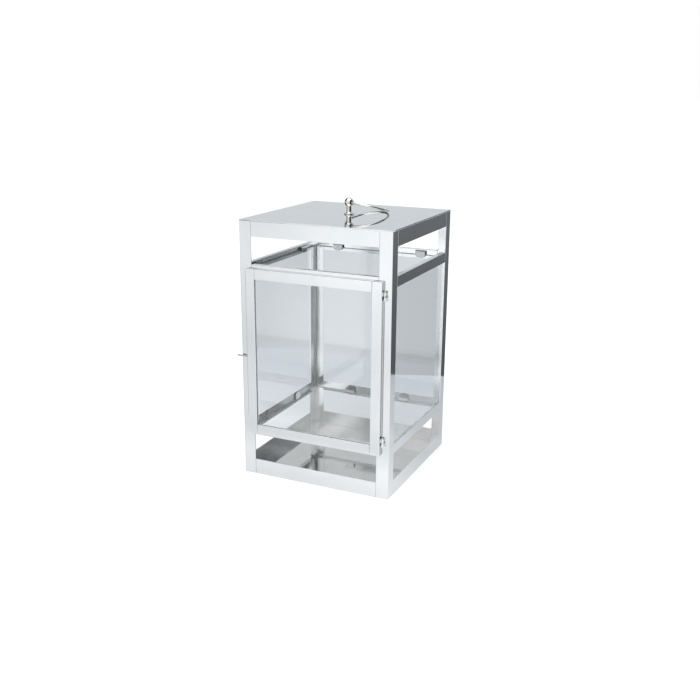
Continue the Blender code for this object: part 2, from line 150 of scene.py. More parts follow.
def add_node(tree, kind, settings=None, values=None):
    made = tree.nodes.new(kind)
    for key, value in (settings or {}).items():
        setattr(made, key, value)
    for key, value in (values or {}).items():
        made.inputs[key].default_value = value
    return made


def noise(tree, scale, detail=3.0, roughness=0.55, stretch=(1, 1, 1)):
    """Noise over the piece, drawn out along the axes whose stretch is small."""
    place = add_node(tree, "ShaderNodeTexCoord")
    mapping = add_node(tree, "ShaderNodeMapping", values={"Scale": stretch})
    values = {"Scale": scale, "Detail": detail, "Roughness": roughness}
    texture = add_node(tree, "ShaderNodeTexNoise", values=values)
    tree.links.new(place.outputs["Object"], mapping.inputs["Vector"])
    tree.links.new(mapping.outputs["Vector"], texture.inputs["Vector"])
    return texture.outputs["Fac"]


def spread(tree, source, low, high, low_at=0.35, high_at=0.65):
    """Maps the stretch low_at..high_at of a value to low..high."""
    values = {"From Min": low_at, "From Max": high_at, "To Min": low, "To Max": high}
    made = add_node(tree, "ShaderNodeMapRange", values=values)
    tree.links.new(source, made.inputs["Value"])
    return made.outputs["Result"]


def combine(tree, operation, first, second):
    made = add_node(tree, "ShaderNodeMath", {"operation": operation})
    for socket, value in zip(made.inputs, (first, second)):
        if isinstance(value, (int, float)):
            socket.default_value = value
        else:
            tree.links.new(value, socket)
    return made.outputs[0]


def blend_colours(tree, factor, first, second):
    made = add_node(tree, "ShaderNodeMix", {"data_type": "RGBA"})
    sockets = [socket for socket in made.inputs if socket.type == "RGBA"]
    tree.links.new(factor, made.inputs["Factor"])
    for socket, value in zip(sockets, (first, second)):
        if isinstance(value, tuple):
            socket.default_value = (*value, 1.0)
        else:
            tree.links.new(value, socket)
    return next(socket for socket in made.outputs if socket.type == "RGBA")


def bump(tree, height, distance, below=None):
    made = add_node(tree, "ShaderNodeBump", values={"Strength": 1.0, "Distance": distance})
    tree.links.new(height, made.inputs["Height"])
    if below is not None:
        tree.links.new(below, made.inputs["Normal"])
    return made.outputs["Normal"]


def attribute(tree, name):
    return add_node(tree, "ShaderNodeAttribute", {"attribute_name": name}).outputs["Fac"]


# ---------------------------------------------------------------- materials

# Noise, as scale, detail and roughness.
CLOUDS = (24.0, 4.0)
FINGERS = (60.0, 5.0, 0.62)
LINES = (1100.0, 2.0, 0.5)
WAVES = (16.0, 1.0, 0.4)
FILM = (9.0, 2.0, 0.5)
DUST = (45.0, 5.0, 0.6)
GLASS_WAVES = (8.0, 1.0, 0.4)
GRIT = (1800.0, 3.0, 0.6)

# Directions of the polishing lines, as the noise's stretch along x, y and z.
UP = (12, 12, 1)
ALONG_X = (1, 12, 12)
ALONG_Y = (12, 1, 12)
EVEN = (12, 12, 12)
ACROSS_PLATE = (1, 16, 1)
TURNED = (2, 2, 20)
CAST = (3, 3, 3)

# Metals, as tint, stain, roughness, height of the ripples and strength of the smudges.
POLISHED = ((0.735, 0.745, 0.75), (0.70, 0.715, 0.72), 0.05, 0.000010, 0.05)
DULL_PALE = ((0.96, 0.965, 0.97), (0.92, 0.925, 0.93), 0.20, 0.000014, 0.06)
# Painted shade: the pale dull steel made darker.
DULL_SHADED = ((0.85, 0.855, 0.86), (0.79, 0.795, 0.80), 0.20, 0.000014, 0.06)
UNPOLISHED = ((0.98, 0.985, 0.99), (0.95, 0.955, 0.96), 0.50, 0.000014, 0.06)
MIRRORED = ((0.70, 0.715, 0.73), (0.665, 0.68, 0.70), 0.018, 0.000005, 0.03)
RUBBED = ((0.67, 0.665, 0.66), (0.62, 0.615, 0.605), 0.045, 0.000010, 0.06)
WARM_NICKEL = ((0.78, 0.755, 0.715), (0.70, 0.67, 0.62), 0.06, 0.000002, 0.05)
GREY_ZINC = ((0.60, 0.61, 0.64), (0.47, 0.48, 0.50), 0.30, 0.000004, 0.15)

# Wear, dirt and painted shade: the first three are the painted shade's tint, its usual strength and its
# patches; PATCHES, SMUDGED and STREAKS are ends for spread().
PAINTED_SHADE_TINT = (0.30, 0.29, 0.285)
PAINTED_SHADE = 0.7
PATCHES = (0.55, 1.0, 0.3, 0.6)
WORN_BRIGHTER = 1.12
WORN_SHARE = 0.8
WORN_ROUGHER = 0.10
SMUDGED = (0.52, 0.74)
STREAKS = (-0.01, 0.02)
LINE_DEPTH = 0.0000004

# Glass; DUSTY and GROUND_ROUGHNESS are ends for spread().
GLASS_IOR = 1.5
FILM_STRETCH = (1, 1, 2)
CLEAR_TINTS = ((0.966, 0.977, 0.979), (0.976, 0.985, 0.986))
CLEAR_SHADOW = (0.93, 0.96, 0.96)
DUST_ROUGHNESS = 0.015
DUSTY = (0.55, 0.8)
GLASS_WAVE_HEIGHT = 0.000003
GROUND_TINTS = ((0.30, 0.42, 0.38), (0.48, 0.60, 0.56))
GROUND_SHADOW = (0.75, 0.85, 0.82)
GROUND_ROUGHNESS = (0.35, 0.6)
GROUND_CLEARNESS = 0.5
GRIT_HEIGHT = 0.00002


def metal(name, grain, tint, stain, roughness, ripple, smudge):
    """Polished metal: clouded tint, polishing lines along the grain, finger smudges, bright worn edges, and
    painted shade on faces marked for it.
    """
    material, tree, shader = new_material(name)
    shader.inputs["Metallic"].default_value = 1.0
    clouds = noise(tree, *CLOUDS)
    base = blend_colours(tree, spread(tree, clouds, 0.0, 1.0), stain, tint)
    bright = tuple(min(1.0, channel * WORN_BRIGHTER) for channel in tint)
    worn = combine(tree, "MULTIPLY", attribute(tree, "edge_wear"), WORN_SHARE)
    base = blend_colours(tree, worn, base, bright)
    # Painted shade: marked faces blend towards its tint in cloudy patches.
    dark = combine(tree, "MULTIPLY", attribute(tree, "tarnish"), spread(tree, clouds, *PATCHES))
    tree.links.new(blend_colours(tree, dark, base, PAINTED_SHADE_TINT), shader.inputs["Base Color"])
    fingers = spread(tree, noise(tree, *FINGERS), 0.0, smudge, *SMUDGED)
    lines = noise(tree, *LINES, grain)
    streaks = spread(tree, lines, *STREAKS)
    rough = combine(tree, "ADD", combine(tree, "ADD", fingers, streaks), roughness)
    worn = combine(tree, "MULTIPLY", attribute(tree, "edge_wear"), WORN_ROUGHER)
    tree.links.new(combine(tree, "ADD", rough, worn), shader.inputs["Roughness"])
    waves = bump(tree, noise(tree, *WAVES), ripple)
    tree.links.new(bump(tree, lines, LINE_DEPTH, waves), shader.inputs["Normal"])
    return material


def let_lamps_through(tree, shader, tint):
    """Shadow rays pass the glass, so that light reaches what stands behind it."""
    clear = add_node(tree, "ShaderNodeBsdfTransparent", values={"Color": (*tint, 1.0)})
    path = add_node(tree, "ShaderNodeLightPath")
    mix = add_node(tree, "ShaderNodeMixShader")
    tree.links.new(path.outputs["Is Shadow Ray"], mix.inputs[0])
    tree.links.new(shader.outputs[0], mix.inputs[1])
    tree.links.new(clear.outputs[0], mix.inputs[2])
    tree.links.new(mix.outputs[0], tree.nodes["Material Output"].inputs["Surface"])


def pane_glass(name):
    """Clear float glass, a little green in its depth, with a film of dust and slow waves."""
    material, tree, shader = new_material(name)
    shader.inputs["Transmission Weight"].default_value = 1.0
    shader.inputs["IOR"].default_value = GLASS_IOR
    film = spread(tree, noise(tree, *FILM, FILM_STRETCH), 0.0, 1.0)
    tree.links.new(blend_colours(tree, film, *CLEAR_TINTS), shader.inputs["Base Color"])
    dust = spread(tree, noise(tree, *DUST), 0.0, DUST_ROUGHNESS, *DUSTY)
    tree.links.new(dust, shader.inputs["Roughness"])
    waves = bump(tree, noise(tree, *GLASS_WAVES), GLASS_WAVE_HEIGHT)
    tree.links.new(waves, shader.inputs["Normal"])
    let_lamps_through(tree, shader, CLEAR_SHADOW)
    return material


def ground_glass(name):
    """The pane's ground rim: frosted, and green because light reaches it along the glass."""
    material, tree, shader = new_material(name)
    shader.inputs["Transmission Weight"].default_value = GROUND_CLEARNESS
    shader.inputs["IOR"].default_value = GLASS_IOR
    grit = noise(tree, *GRIT)
    tree.links.new(blend_colours(tree, grit, *GROUND_TINTS), shader.inputs["Base Color"])
    tree.links.new(spread(tree, grit, *GROUND_ROUGHNESS), shader.inputs["Roughness"])
    tree.links.new(bump(tree, grit, GRIT_HEIGHT), shader.inputs["Normal"])
    let_lamps_through(tree, shader, GROUND_SHADOW)
    return material


# The dull metals are the sheet's unpolished side, which faces the inside of the lantern; the darker grey one
# is the pale one with painted shade, for the left and right pieces.
STEEL_UP = metal("steel_grain_up", UP, *POLISHED)
STEEL_ALONG_X = metal("steel_grain_x", ALONG_X, *POLISHED)
STEEL_ALONG_Y = metal("steel_grain_y", ALONG_Y, *POLISHED)
DULL_UP = metal("dull_grain_up", UP, *DULL_PALE)
DULL_ALONG_X = metal("dull_grain_x", ALONG_X, *DULL_PALE)
DULL_ALONG_Y = metal("dull_grain_y", ALONG_Y, *DULL_SHADED)
CHANNEL = metal("channel_inside", EVEN, *UNPOLISHED)
MIRROR = metal("mirror_plate", ACROSS_PLATE, *MIRRORED)
PLATE = metal("base_plate_steel", ACROSS_PLATE, *RUBBED)
NICKEL = metal("turned_nickel", TURNED, *WARM_NICKEL)
ZINC = metal("zinc_plating", CAST, *GREY_ZINC)
GLASS = pane_glass("float_glass")
GROUND = ground_glass("ground_glass")

# ---------------------------------------------------------------- mesh helpers


def rounded(corners):
    """Rounds right-angled corners, given as (u, v, radius), and gives the outline's (u, v) points."""
    points = []
    for index, (u, v, radius) in enumerate(corners):
        here = Vector((u, v))
        before = (Vector(corners[index - 1][:2]) - here).normalized()
        after = (Vector(corners[(index + 1) % len(corners)][:2]) - here).normalized()
        centre = here + (before + after) * radius
        steps = EDGE_STEPS if radius <= BEND_INNER else BEND_STEPS
        for step in range(steps + 1):
            angle = QUARTER * step / steps
            points.append(centre - radius * (after * math.cos(angle) + before * math.sin(angle)))
    return points


def arc(centre, radius, start, end, steps=ARC_STEPS):
    points = []
    for step in range(steps + 1):
        angle = start + (end - start) * step / steps
        points.append(Vector((centre[0] + radius * math.cos(angle), centre[1] + radius * math.sin(angle))))
    return points


def inset(points, distance):
    """Moves each side of an anticlockwise outline inwards by a distance."""
    moved = []
    for index, here in enumerate(points):
        before = (here - points[index - 1]).normalized()
        after = (points[(index + 1) % len(points)] - here).normalized()
        inward = Vector((-before.y - after.y, before.x + after.x))
        moved.append(here + inward * distance * 2 / max(inward.length_squared, 1.0))
    return moved


def anticlockwise(points):
    area = sum(here.cross(after) for here, after in zip(points, points[1:] + points[:1]))
    return points if area > 0 else points[::-1]


def edge_levels(low, high, edge, steps=EDGE_STEPS):
    """Levels and insets that round both ends of an extrusion."""
    curve = []
    for step in range(steps + 1):
        angle = QUARTER * step / steps
        curve.append((edge * (1 - math.cos(angle)), edge * (1 - math.sin(angle))))
    return [(low + rise, side) for rise, side in curve] + [(high - rise, side) for rise, side in curve[::-1]]


def bridge(shape, first, second, wear_layer, wear):
    for index, start in enumerate(first):
        after = (index + 1) % len(first)
        face = shape.faces.new((start, first[after], second[after], second[index]))
        for loop in face.loops:
            loop[wear_layer] = wear


def extrude(points, low, high, axes="xyz", edge=SHEET_EDGE, steps=EDGE_STEPS):
    """Extrudes an outline with rounded end edges; axes names its two axes and then the extrusion's."""
    order = ["xyz".index(letter) for letter in axes]
    points = anticlockwise(points)
    shape = bmesh.new()
    wear_layer = shape.loops.layers.float.new("edge_wear")
    rings = []
    for level, side in edge_levels(low, high, edge, steps):
        ring = []
        for point in inset(points, side):
            corner = [0.0, 0.0, 0.0]
            corner[order[0]], corner[order[1]], corner[order[2]] = point.x, point.y, level
            ring.append(shape.verts.new(corner))
        rings.append(ring)
    for index, (first, second) in enumerate(zip(rings, rings[1:])):
        bridge(shape, first, second, wear_layer, 0.0 if index == steps else 1.0)
    shape.faces.new(rings[0][::-1])
    shape.faces.new(rings[-1])
    return shape


def stack_rings(rings, closed=False):
    """Skins a stack of rings of 3-D points; a closed stack runs round like a tyre."""
    shape = bmesh.new()
    wear_layer = shape.loops.layers.float.new("edge_wear")
    made = [[shape.verts.new(point) for point in ring] for ring in rings]
    pairs = list(zip(made, made[1:] + made[:1])) if closed else list(zip(made, made[1:]))
    for first, second in pairs:
        bridge(shape, first, second, wear_layer, 0.0)
    if not closed:
        shape.faces.new(made[0][::-1])
        shape.faces.new(made[-1])
    return shape


def ring_of(radius_at, level, steps):
    points = []
    for step in range(steps):
        angle = 2 * math.pi * step / steps
        radius = radius_at(angle)
        points.append((radius * math.cos(angle), radius * math.sin(angle), level))
    return points


def lathe(profile, steps=TURN_STEPS, closed=False):
    """Turns (radius, height) points about Z; an open profile gets a small flat at each end."""
    rings = [ring_of(lambda _, size=radius: size, height, steps) for radius, height in profile]
    return stack_rings(rings, closed)


def to_piece(name, shape, materials, matrix=None):
    if matrix is not None:
        shape.transform(matrix)
    bmesh.ops.recalc_face_normals(shape, faces=shape.faces)
    mesh = bpy.data.meshes.new(name)
    shape.to_mesh(mesh)
    shape.free()
    for material in materials:
        mesh.materials.append(material)
    piece = bpy.data.objects.new(name, mesh)
    bpy.context.scene.collection.objects.link(piece)
    return piece


def carve(piece, cutter):
    """Takes the cutter out of the piece for good, and removes the cutter."""
    modifier = piece.modifiers.new("carve", "BOOLEAN")
    modifier.operation = "DIFFERENCE"
    modifier.solver = "EXACT"
    modifier.object = cutter
    bpy.context.view_layer.update()
    graph = bpy.context.evaluated_depsgraph_get()
    carved = bpy.data.meshes.new_from_object(piece.evaluated_get(graph))
    piece.modifiers.clear()
    piece.data = carved
    bpy.data.objects.remove(cutter)


def along_x(position):
    """Turns the Z axis to X and moves to the position."""
    return Matrix.Translation(position) @ Matrix.Rotation(QUARTER, 4, "Y")


def bore(piece, shank, low, high, matrix):
    """Drills a hole with a running gap round a shank, from past low to past high on the matrix's Z axis."""
    radius = shank + RUNNING_GAP
    rod = lathe([(radius, low - RUNNING_GAP), (radius, high + RUNNING_GAP)], ARC_STEPS * 2)
    carve(piece, to_piece("bore_cutter", rod, piece.data.materials[:1], matrix))


def bore_for(piece, shank, name):
    """Drills the hole for a pin or a rivet that lies along X."""
    low, high = low_high(name)
    middle = (low + high) / 2
    bore(piece, shank, low.x, high.x, along_x((0, middle.y, middle.z)))


def flat_and_round(piece):
    """Large faces stay flat, and the rounded edges between them blend."""
    piece.data.shade_smooth()
    modifier = piece.modifiers.new("normals", "WEIGHTED_NORMAL")
    modifier.weight = 100
    modifier.keep_sharp = False
    return piece


def smooth(piece):
    piece.data.shade_smooth()
    piece.data.set_sharp_from_angle(angle=SHARP)
    return piece


def stand_for(piece, name):
    bodies = frame["record"]["behaviour"]["bodies"]
    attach(piece, next(body for body, nodes in bodies.items() if name in nodes))
    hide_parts(name)
    return piece


def turn(quarters):
    return Matrix.Rotation(quarters * QUARTER, 4, "Z")


def grain_along(side):
    return [STEEL_ALONG_X, DULL_ALONG_X] if side in ("front", "back") else [STEEL_ALONG_Y, DULL_ALONG_Y]


def dull_inside(piece, is_inside, slot=1):
    """Gives the material in the slot to the faces whose centre and normal pass the test."""
    for face in piece.data.polygons:
        if is_inside(face.center, face.normal):
            face.material_index = slot
    return piece


def faces_in(centre, normal):
    """True for a face that looks towards the middle of the lantern."""
    return centre.x * normal.x + centre.y * normal.y < -HALF / 2


def tarnish(piece, amount, is_shaded=lambda centre, normal: True):
    """Paints shade on the faces whose centre and normal pass the test, by darkening their colour by an
    amount.
    """
    layer = piece.data.attributes.new("tarnish", "FLOAT", "FACE")
    for face in piece.data.polygons:
        layer.data[face.index].value = amount if is_shaded(face.center, face.normal) else 0.0
    return piece


# ---------------------------------------------------------------- body frame


def angle_outline(reach_u, reach_v, thickness):
    """Angle section with its bend at the origin and its legs along +u and +v."""
    return rounded([
        (0, 0, BEND_OUTER),
        (reach_u, 0, SHEET_EDGE),
        (reach_u, thickness, SHEET_EDGE),
        (thickness, thickness, BEND_INNER),
        (thickness, reach_v, SHEET_EDGE),
        (0, reach_v, SHEET_EDGE),
    ])


def shifted(points, u, v, flip_v=1):
    return [Vector((point.x + u, flip_v * point.y + v)) for point in points]


def build_posts():
    for quarters, corner in enumerate(POSTS):
        name = "corner_post_" + corner
        low, high = low_high(name)
        outline = shifted(angle_outline(POST_LEG, POST_LEG, SHEET), -HALF, -HALF)
        shape = extrude(outline, low.z, high.z)
        piece = to_piece(name + "_fine", shape, [STEEL_UP, DULL_UP], turn(quarters))
        if corner == "front_left":
            bore_for(piece, RIVET_SHANK, "latch_rivet")
        stand_for(flat_and_round(dull_inside(piece, faces_in)), name)


def build_bands():
    for kind in ("top_band_", "bottom_band_"):
        low, high = low_high(kind + "front")
        corners = [(low.x, low.z), (high.x, low.z), (high.x, high.z), (low.x, high.z)]
        outline = rounded([(x, z, SHEET_EDGE) for x, z in corners])
        for quarters, side in enumerate(SIDES):
            shape = extrude(outline, low.y, high.y, "xzy")
            piece = to_piece(kind + side + "_fine", shape, grain_along(side), turn(quarters))
            stand_for(flat_and_round(dull_inside(piece, faces_in)), kind + side)


def build_rails():
    """Angle rails: the upper ones have their flange at the top, the lower ones at the bottom."""
    for kind, flip in (("upper_rail_", -1), ("lower_rail_", 1)):
        low, high = low_high(kind + "front")
        fold = high.z if flip < 0 else low.z
        outline = shifted(angle_outline(FLANGE_REACH, high.z - low.z, SHEET), low.y, fold, flip)
        for quarters, side in enumerate(SIDES):
            shape = extrude(outline, low.x, high.x, "yzx")
            piece = to_piece(kind + side + "_fine", shape, grain_along(side) + [CHANNEL], turn(quarters))
            dull_inside(piece, faces_in)
            dull_inside(piece, lambda _, out, way=flip: out.z * way > FACES_UP, slot=2)
            # Painted shade on the inward faces of the left lower rail.
            if kind + side == "lower_rail_left":
                tarnish(piece, PAINTED_SHADE, faces_in)
            stand_for(flat_and_round(piece), kind + side)


def square_at(half):
    return lambda angle: half / max(abs(math.cos(angle)), abs(math.sin(angle)))


def build_roof():
    """Square mirror plate with broken edges and a hole for the handle's stud."""
    levels = edge_levels(ROOF_LOW.z, ROOF_TOP, SHEET_EDGE)
    outside = [ring_of(square_at(HALF - side), level, PLATE_STEPS) for level, side in levels]
    hole = [ring_of(lambda _: STUD_BORE, level, PLATE_STEPS) for level in (ROOF_TOP, ROOF_LOW.z)]
    piece = to_piece("roof_plate_fine", stack_rings(outside + hole, closed=True), [MIRROR])
    stand_for(flat_and_round(piece), "roof_plate")


def build_base():
    outline = rounded([(x * BASE_HIGH.x, y * BASE_HIGH.y, PLATE_CORNER) for x, y in SQUARE])
    piece = to_piece("base_plate_fine", extrude(outline, BASE_LOW.z, BASE_HIGH.z), [PLATE])
    stand_for(flat_and_round(piece), "base_plate")


# ---------------------------------------------------------------- glass


def front_twin(name, quarters):
    """The node's box, turned back to the front side."""
    low, high = low_high(name)
    size = high - low
    if quarters % 2:
        size.x, size.y = size.y, size.x
    middle = (low + high) / 2
    middle.rotate(Matrix.Rotation(-quarters * QUARTER, 3, "Z"))
    return middle - size / 2, middle + size / 2


def build_pane(name, quarters):
    """A pane with ground rims, made as its front-facing twin and turned into place."""
    low, high = front_twin(name, quarters)
    corners = [(low.x, low.z), (high.x, low.z), (high.x, high.z), (low.x, high.z)]
    outline = rounded([(x, z, GLASS_CORNER) for x, z in corners])
    shape = extrude(outline, low.y, high.y, "xzy", GROUND_CHAMFER, 1)
    widest = max(face.calc_area() for face in shape.faces)
    for face in shape.faces:
        face.material_index = 0 if face.calc_area() > widest / 2 else 1
    piece = to_piece(name + "_fine", shape, [GLASS, GROUND], turn(quarters))
    stand_for(piece, name)


def ribbon(stations, thickness, edge):
    """A strip swept along stations of (y, z, half width), with its thickness across the path."""
    rings = []
    for index, (y, z, half) in enumerate(stations):
        before = stations[max(index - 1, 0)]
        after = stations[min(index + 1, len(stations) - 1)]
        along = Vector((0, after[0] - before[0], after[1] - before[1])).normalized()
        across = along.cross(Vector((1, 0, 0)))
        centre = Vector((0, y, z))
        deep = thickness / 2
        section = [
            (-half, deep - edge), (-half, edge - deep), (edge - half, -deep), (half - edge, -deep),
            (half, edge - deep), (half, deep - edge), (half - edge, deep), (edge - half, deep),
        ]
        rings.append([centre + Vector((wide, 0, 0)) + across * out for wide, out in section])
    return stack_rings(rings)


def clip_stations(low, high, pointing_up):
    """Middle line of a bent tab: a foot on the rail's flange, a bend, and a leg with a round end."""
    half = (high.x - low.x) / 2
    deep = CLIP_SHEET / 2
    foot = low.z + deep if pointing_up else high.z - deep
    tip = high.z if pointing_up else low.z
    way = 1 if pointing_up else -1
    leg = high.y - deep
    stations = [(low.y, foot, half)]
    bend = arc((leg - CLIP_BEND, foot + way * CLIP_BEND), CLIP_BEND, -way * QUARTER, 0, BEND_STEPS)
    stations += [(point.x, point.y, half) for point in bend]
    for step in range(ARC_STEPS // 2 + 1):
        angle = QUARTER * step / (ARC_STEPS // 2)
        from_tip = CLIP_CORNER * (1 - math.sin(angle))
        width = half - CLIP_CORNER * (1 - math.cos(angle))
        stations.append((leg, tip - way * from_tip, width))
    return stations


def build_glass():
    for side in ("right", "back", "left"):
        quarters = SIDES.index(side)
        build_pane("glass_" + side, quarters)
        for level in ("upper", "lower"):
            for number in ("1", "2"):
                name = "glass_clip_{}_{}_{}".format(side, level, number)
                build_clip(name, quarters, level == "lower")
    build_pane("door_glass", 0)


def build_clip(name, quarters, pointing_up):
    low, high = front_twin(name, quarters)
    shape = ribbon(clip_stations(low, high, pointing_up), CLIP_SHEET, SHEET_EDGE)
    shape.transform(Matrix.Translation(((low.x + high.x) / 2, 0, 0)))
    piece = to_piece(name + "_fine", shape, grain_along(SIDES[quarters])[:1], turn(quarters))
    # Painted shade on the upper clips, which point down; the lower clips get none.
    stand_for(smooth(tarnish(piece, 0.0 if pointing_up else PAINTED_SHADE)), name)


# ---------------------------------------------------------------- door


def channel_outline(web, edge, front, back):
    """Folded channel: its web lies at web, and its two flanges reach to edge."""
    way = 1 if edge > web else -1
    inside = web + way * DOOR_SHEET
    return rounded([
        (web, front, BEND_OUTER),
        (edge, front, ROLLED_EDGE),
        (edge, front + DOOR_SHEET, ROLLED_EDGE),
        (inside, front + DOOR_SHEET, BEND_INNER),
        (inside, back - DOOR_SHEET, BEND_INNER),
        (edge, back - DOOR_SHEET, ROLLED_EDGE),
        (edge, back, ROLLED_EDGE),
        (web, back, BEND_OUTER),
    ])


def in_channel(low, high, across, web):
    """Test for the faces inside a folded channel whose web lies at web."""
    half_sheet = DOOR_SHEET / 2

    def is_inside(at, _):
        from_web = abs(getattr(at, across) - web)
        return low.y + half_sheet < at.y < high.y - half_sheet and from_web > half_sheet

    return is_inside


def build_door():
    pieces = {
        "door_stile_latch": ("x", 1, "xyz", "z", STEEL_UP),
        "door_stile_hinge": ("x", -1, "xyz", "z", STEEL_UP),
        "door_rail_top": ("z", -1, "zyx", "x", STEEL_ALONG_X),
        "door_rail_bottom": ("z", 1, "zyx", "x", STEEL_ALONG_X),
    }
    for name, (across, way, axes, along, finish) in pieces.items():
        low, high = low_high(name)
        near, far = getattr(low, across), getattr(high, across)
        web, edge = (near, far) if way > 0 else (far, near)
        outline = channel_outline(web, edge, low.y, high.y)
        shape = extrude(outline, getattr(low, along), getattr(high, along), axes)
        piece = to_piece(name + "_fine", shape, [finish, CHANNEL])
        if name == "door_stile_latch":
            bore_for(piece, LATCH_PIN_RADIUS, "door_latch_pin")
        dull_inside(piece, in_channel(low, high, across, web))
        # Painted shadow of the gap between door and post, on the hinge stile's web.
        if name == "door_stile_hinge":
            tarnish(piece, 1.0, lambda at, _, web=web: abs(at.x - web) < ON_WEB)
        stand_for(flat_and_round(piece), name)


# ---------------------------------------------------------------- handle


def post_profile():
    """Stud with a turned thread, thin flange, flared foot, neck and ball, as (radius, height) points."""
    low, _ = low_high("handle_post")
    bottom = low.z - ROOF_TOP
    core = STUD_RADIUS - THREAD_DEPTH
    profile = [(core / 2, bottom), (core, bottom + THREAD_DEPTH)]
    height = bottom + THREAD_DEPTH
    while height + THREAD_PITCH < -SHEET:
        profile += [(STUD_RADIUS, height + THREAD_PITCH / 2), (core, height + THREAD_PITCH)]
        height += THREAD_PITCH
    rim = (FLANGE_HIGH - FLANGE_LOW) / 2
    profile += [(STUD_RADIUS, -SHEET), (STUD_RADIUS, FLANGE_LOW)]
    flange = arc((FLANGE_RADIUS - rim, FLANGE_LOW + rim), rim, -QUARTER, QUARTER, ARC_STEPS // 2)
    flare_centre = (NECK_RADIUS + FLARE_RADIUS, FLANGE_HIGH + FLARE_RADIUS)
    flare = arc(flare_centre, FLARE_RADIUS, FLARE_START, -math.pi, ARC_STEPS // 2)
    neck_angle = math.acos(NECK_RADIUS / BALL_RADIUS)
    ball = arc((0, BALL_HEIGHT), BALL_RADIUS, -neck_angle, BALL_TOP, ARC_STEPS * 2)
    return profile + [tuple(point) for point in flange + flare + ball]


def lip_profile():
    """Cutter for the ring's hole: a rod that flares into a rounded lip where it leaves the ball."""
    reach = math.sqrt(BALL_RADIUS**2 - (RING_HOLE + HOLE_LIP)**2)
    lip = arc((RING_HOLE + HOLE_LIP, reach - HOLE_LIP), HOLE_LIP, math.pi, QUARTER, ARC_STEPS // 2)
    upper = [tuple(point) for point in lip] + [(BALL_RADIUS, reach), (BALL_RADIUS, 2 * BALL_RADIUS)]
    return [(radius, -height) for radius, height in upper[::-1]] + upper


def ring_frame():
    """The ring's pivot, its centre and the direction of its swing axis, read from the CAD frame."""
    swing = JOINTS["ring_swing"]
    low, high = low_high("handle_ring")
    return Vector((0, 0, ROOF_TOP + BALL_HEIGHT)), (low + high) / 2, Vector(swing["axis"]).normalized()


def towards(direction):
    """Rotation that takes the Z axis to a direction."""
    return Vector((0, 0, 1)).rotation_difference(direction).to_matrix().to_4x4()


def wire_ring(radius):
    """A closed ring of round wire, flat about the Z axis."""
    rings = []
    for step in range(RING_STEPS):
        angle = 2 * math.pi * step / RING_STEPS
        outward = Vector((math.cos(angle), math.sin(angle), 0))
        section = []
        for part in range(WIRE_STEPS):
            round_wire = 2 * math.pi * part / WIRE_STEPS
            offset = outward * math.cos(round_wire) + Vector((0, 0, math.sin(round_wire)))
            section.append(outward * radius + offset * RING_WIRE)
        rings.append(section)
    return stack_rings(rings, closed=True)


def build_handle():
    pivot, centre, axis = ring_frame()
    up = Matrix.Translation((0, 0, ROOF_TOP))
    post = to_piece("handle_post_fine", lathe(post_profile()), [NICKEL], up)
    cutter = to_piece("lip_cutter", lathe(lip_profile(), ARC_STEPS * 2), [NICKEL])
    cutter.data.transform(Matrix.Translation(pivot) @ towards(axis))
    carve(post, cutter)
    stand_for(smooth(post), "handle_post")

    lie = Matrix.Translation(centre) @ towards((centre - pivot).cross(axis))
    ring = to_piece("handle_ring_fine", wire_ring((centre - pivot).length), [NICKEL], lie)
    ring.data.shade_smooth()
    stand_for(ring, "handle_ring")


def hexagon_at(apothem, limit):
    """Radius of a hexagon whose corners are cut off at a limit."""

    def radius_at(angle):
        flat = apothem / math.cos((angle % (math.pi / 3)) - math.pi / 6)
        return min(flat, limit)

    return radius_at


def build_washer():
    low, high = low_high("handle_washer")
    outside = [(high.x - side, level) for level, side in edge_levels(low.z, high.z, ROUND_EDGE)]
    profile = outside + [(STUD_BORE, high.z), (STUD_BORE, low.z)]
    washer = to_piece("handle_washer_fine", lathe(profile, closed=True), [ZINC])
    stand_for(flat_and_round(washer), "handle_washer")


def build_nut():
    """Hexagon nut with its corners chamfered at both ends."""
    low, high = low_high("handle_nut")
    apothem = min(high.x, high.y)
    corner = apothem / math.cos(math.pi / 6)
    chamfer = corner - apothem
    start = [(0.0, apothem), (chamfer / 4, apothem + chamfer / 2), (chamfer / 2, corner)]
    levels = [(low.z + rise, limit) for rise, limit in start]
    levels += [(high.z - rise, limit) for rise, limit in start[::-1]]
    rings = [ring_of(hexagon_at(apothem, limit), level, TURN_STEPS) for level, limit in levels]
    rings += [ring_of(lambda _: STUD_BORE, level, TURN_STEPS) for level in (high.z, low.z)]
    nut = to_piece("handle_nut_fine", stack_rings(rings, closed=True), [ZINC])
    stand_for(smooth(nut), "handle_nut")


# ---------------------------------------------------------------- hinges and latch


def domed(radius, low, high, dome, way=1):
    """Profile of a disc or a rod with one domed end: the upper one, or the lower one if way is -1."""
    curve = []
    for step in range(ARC_STEPS // 2 + 1):
        angle = QUARTER * step / (ARC_STEPS // 2)
        curve.append((max(radius * math.cos(angle), TINY), math.sin(angle) * dome))
    if way > 0:
        return [(radius, low)] + [(size, high - dome + rise) for size, rise in curve]
    return [(size, low + dome - rise) for size, rise in curve[::-1]] + [(radius, high)]


def build_knuckle(name, outline, axis):
    """Barrel and leaf in one, with a bore for the hinge pin."""
    low, high = low_high(name)
    shape = extrude(outline, low.z, high.z, edge=ROUND_EDGE)
    knuckle = to_piece(name + "_fine", shape, [STEEL_UP], Matrix.Translation(axis))
    bore(knuckle, PIN_RADIUS, low.z, high.z, Matrix.Translation(axis))
    stand_for(smooth(knuckle), name)


def frame_knuckle_outline(_, high, axis):
    """Barrel whose leaf lies on the post's front, about the hinge's axis."""
    leaf_back = high.y - axis.y
    leaf_front = leaf_back - FRAME_LEAF
    meets = 2 * math.pi + math.asin(leaf_front / KNUCKLE_RADIUS)
    barrel = arc((0, 0), KNUCKLE_RADIUS, BARREL_START, meets)
    reach = high.x - axis.x
    leaf = [(reach, leaf_front), (reach, leaf_back), (-KNUCKLE_RADIUS / 2, leaf_back)]
    return barrel + [Vector(corner) for corner in leaf]


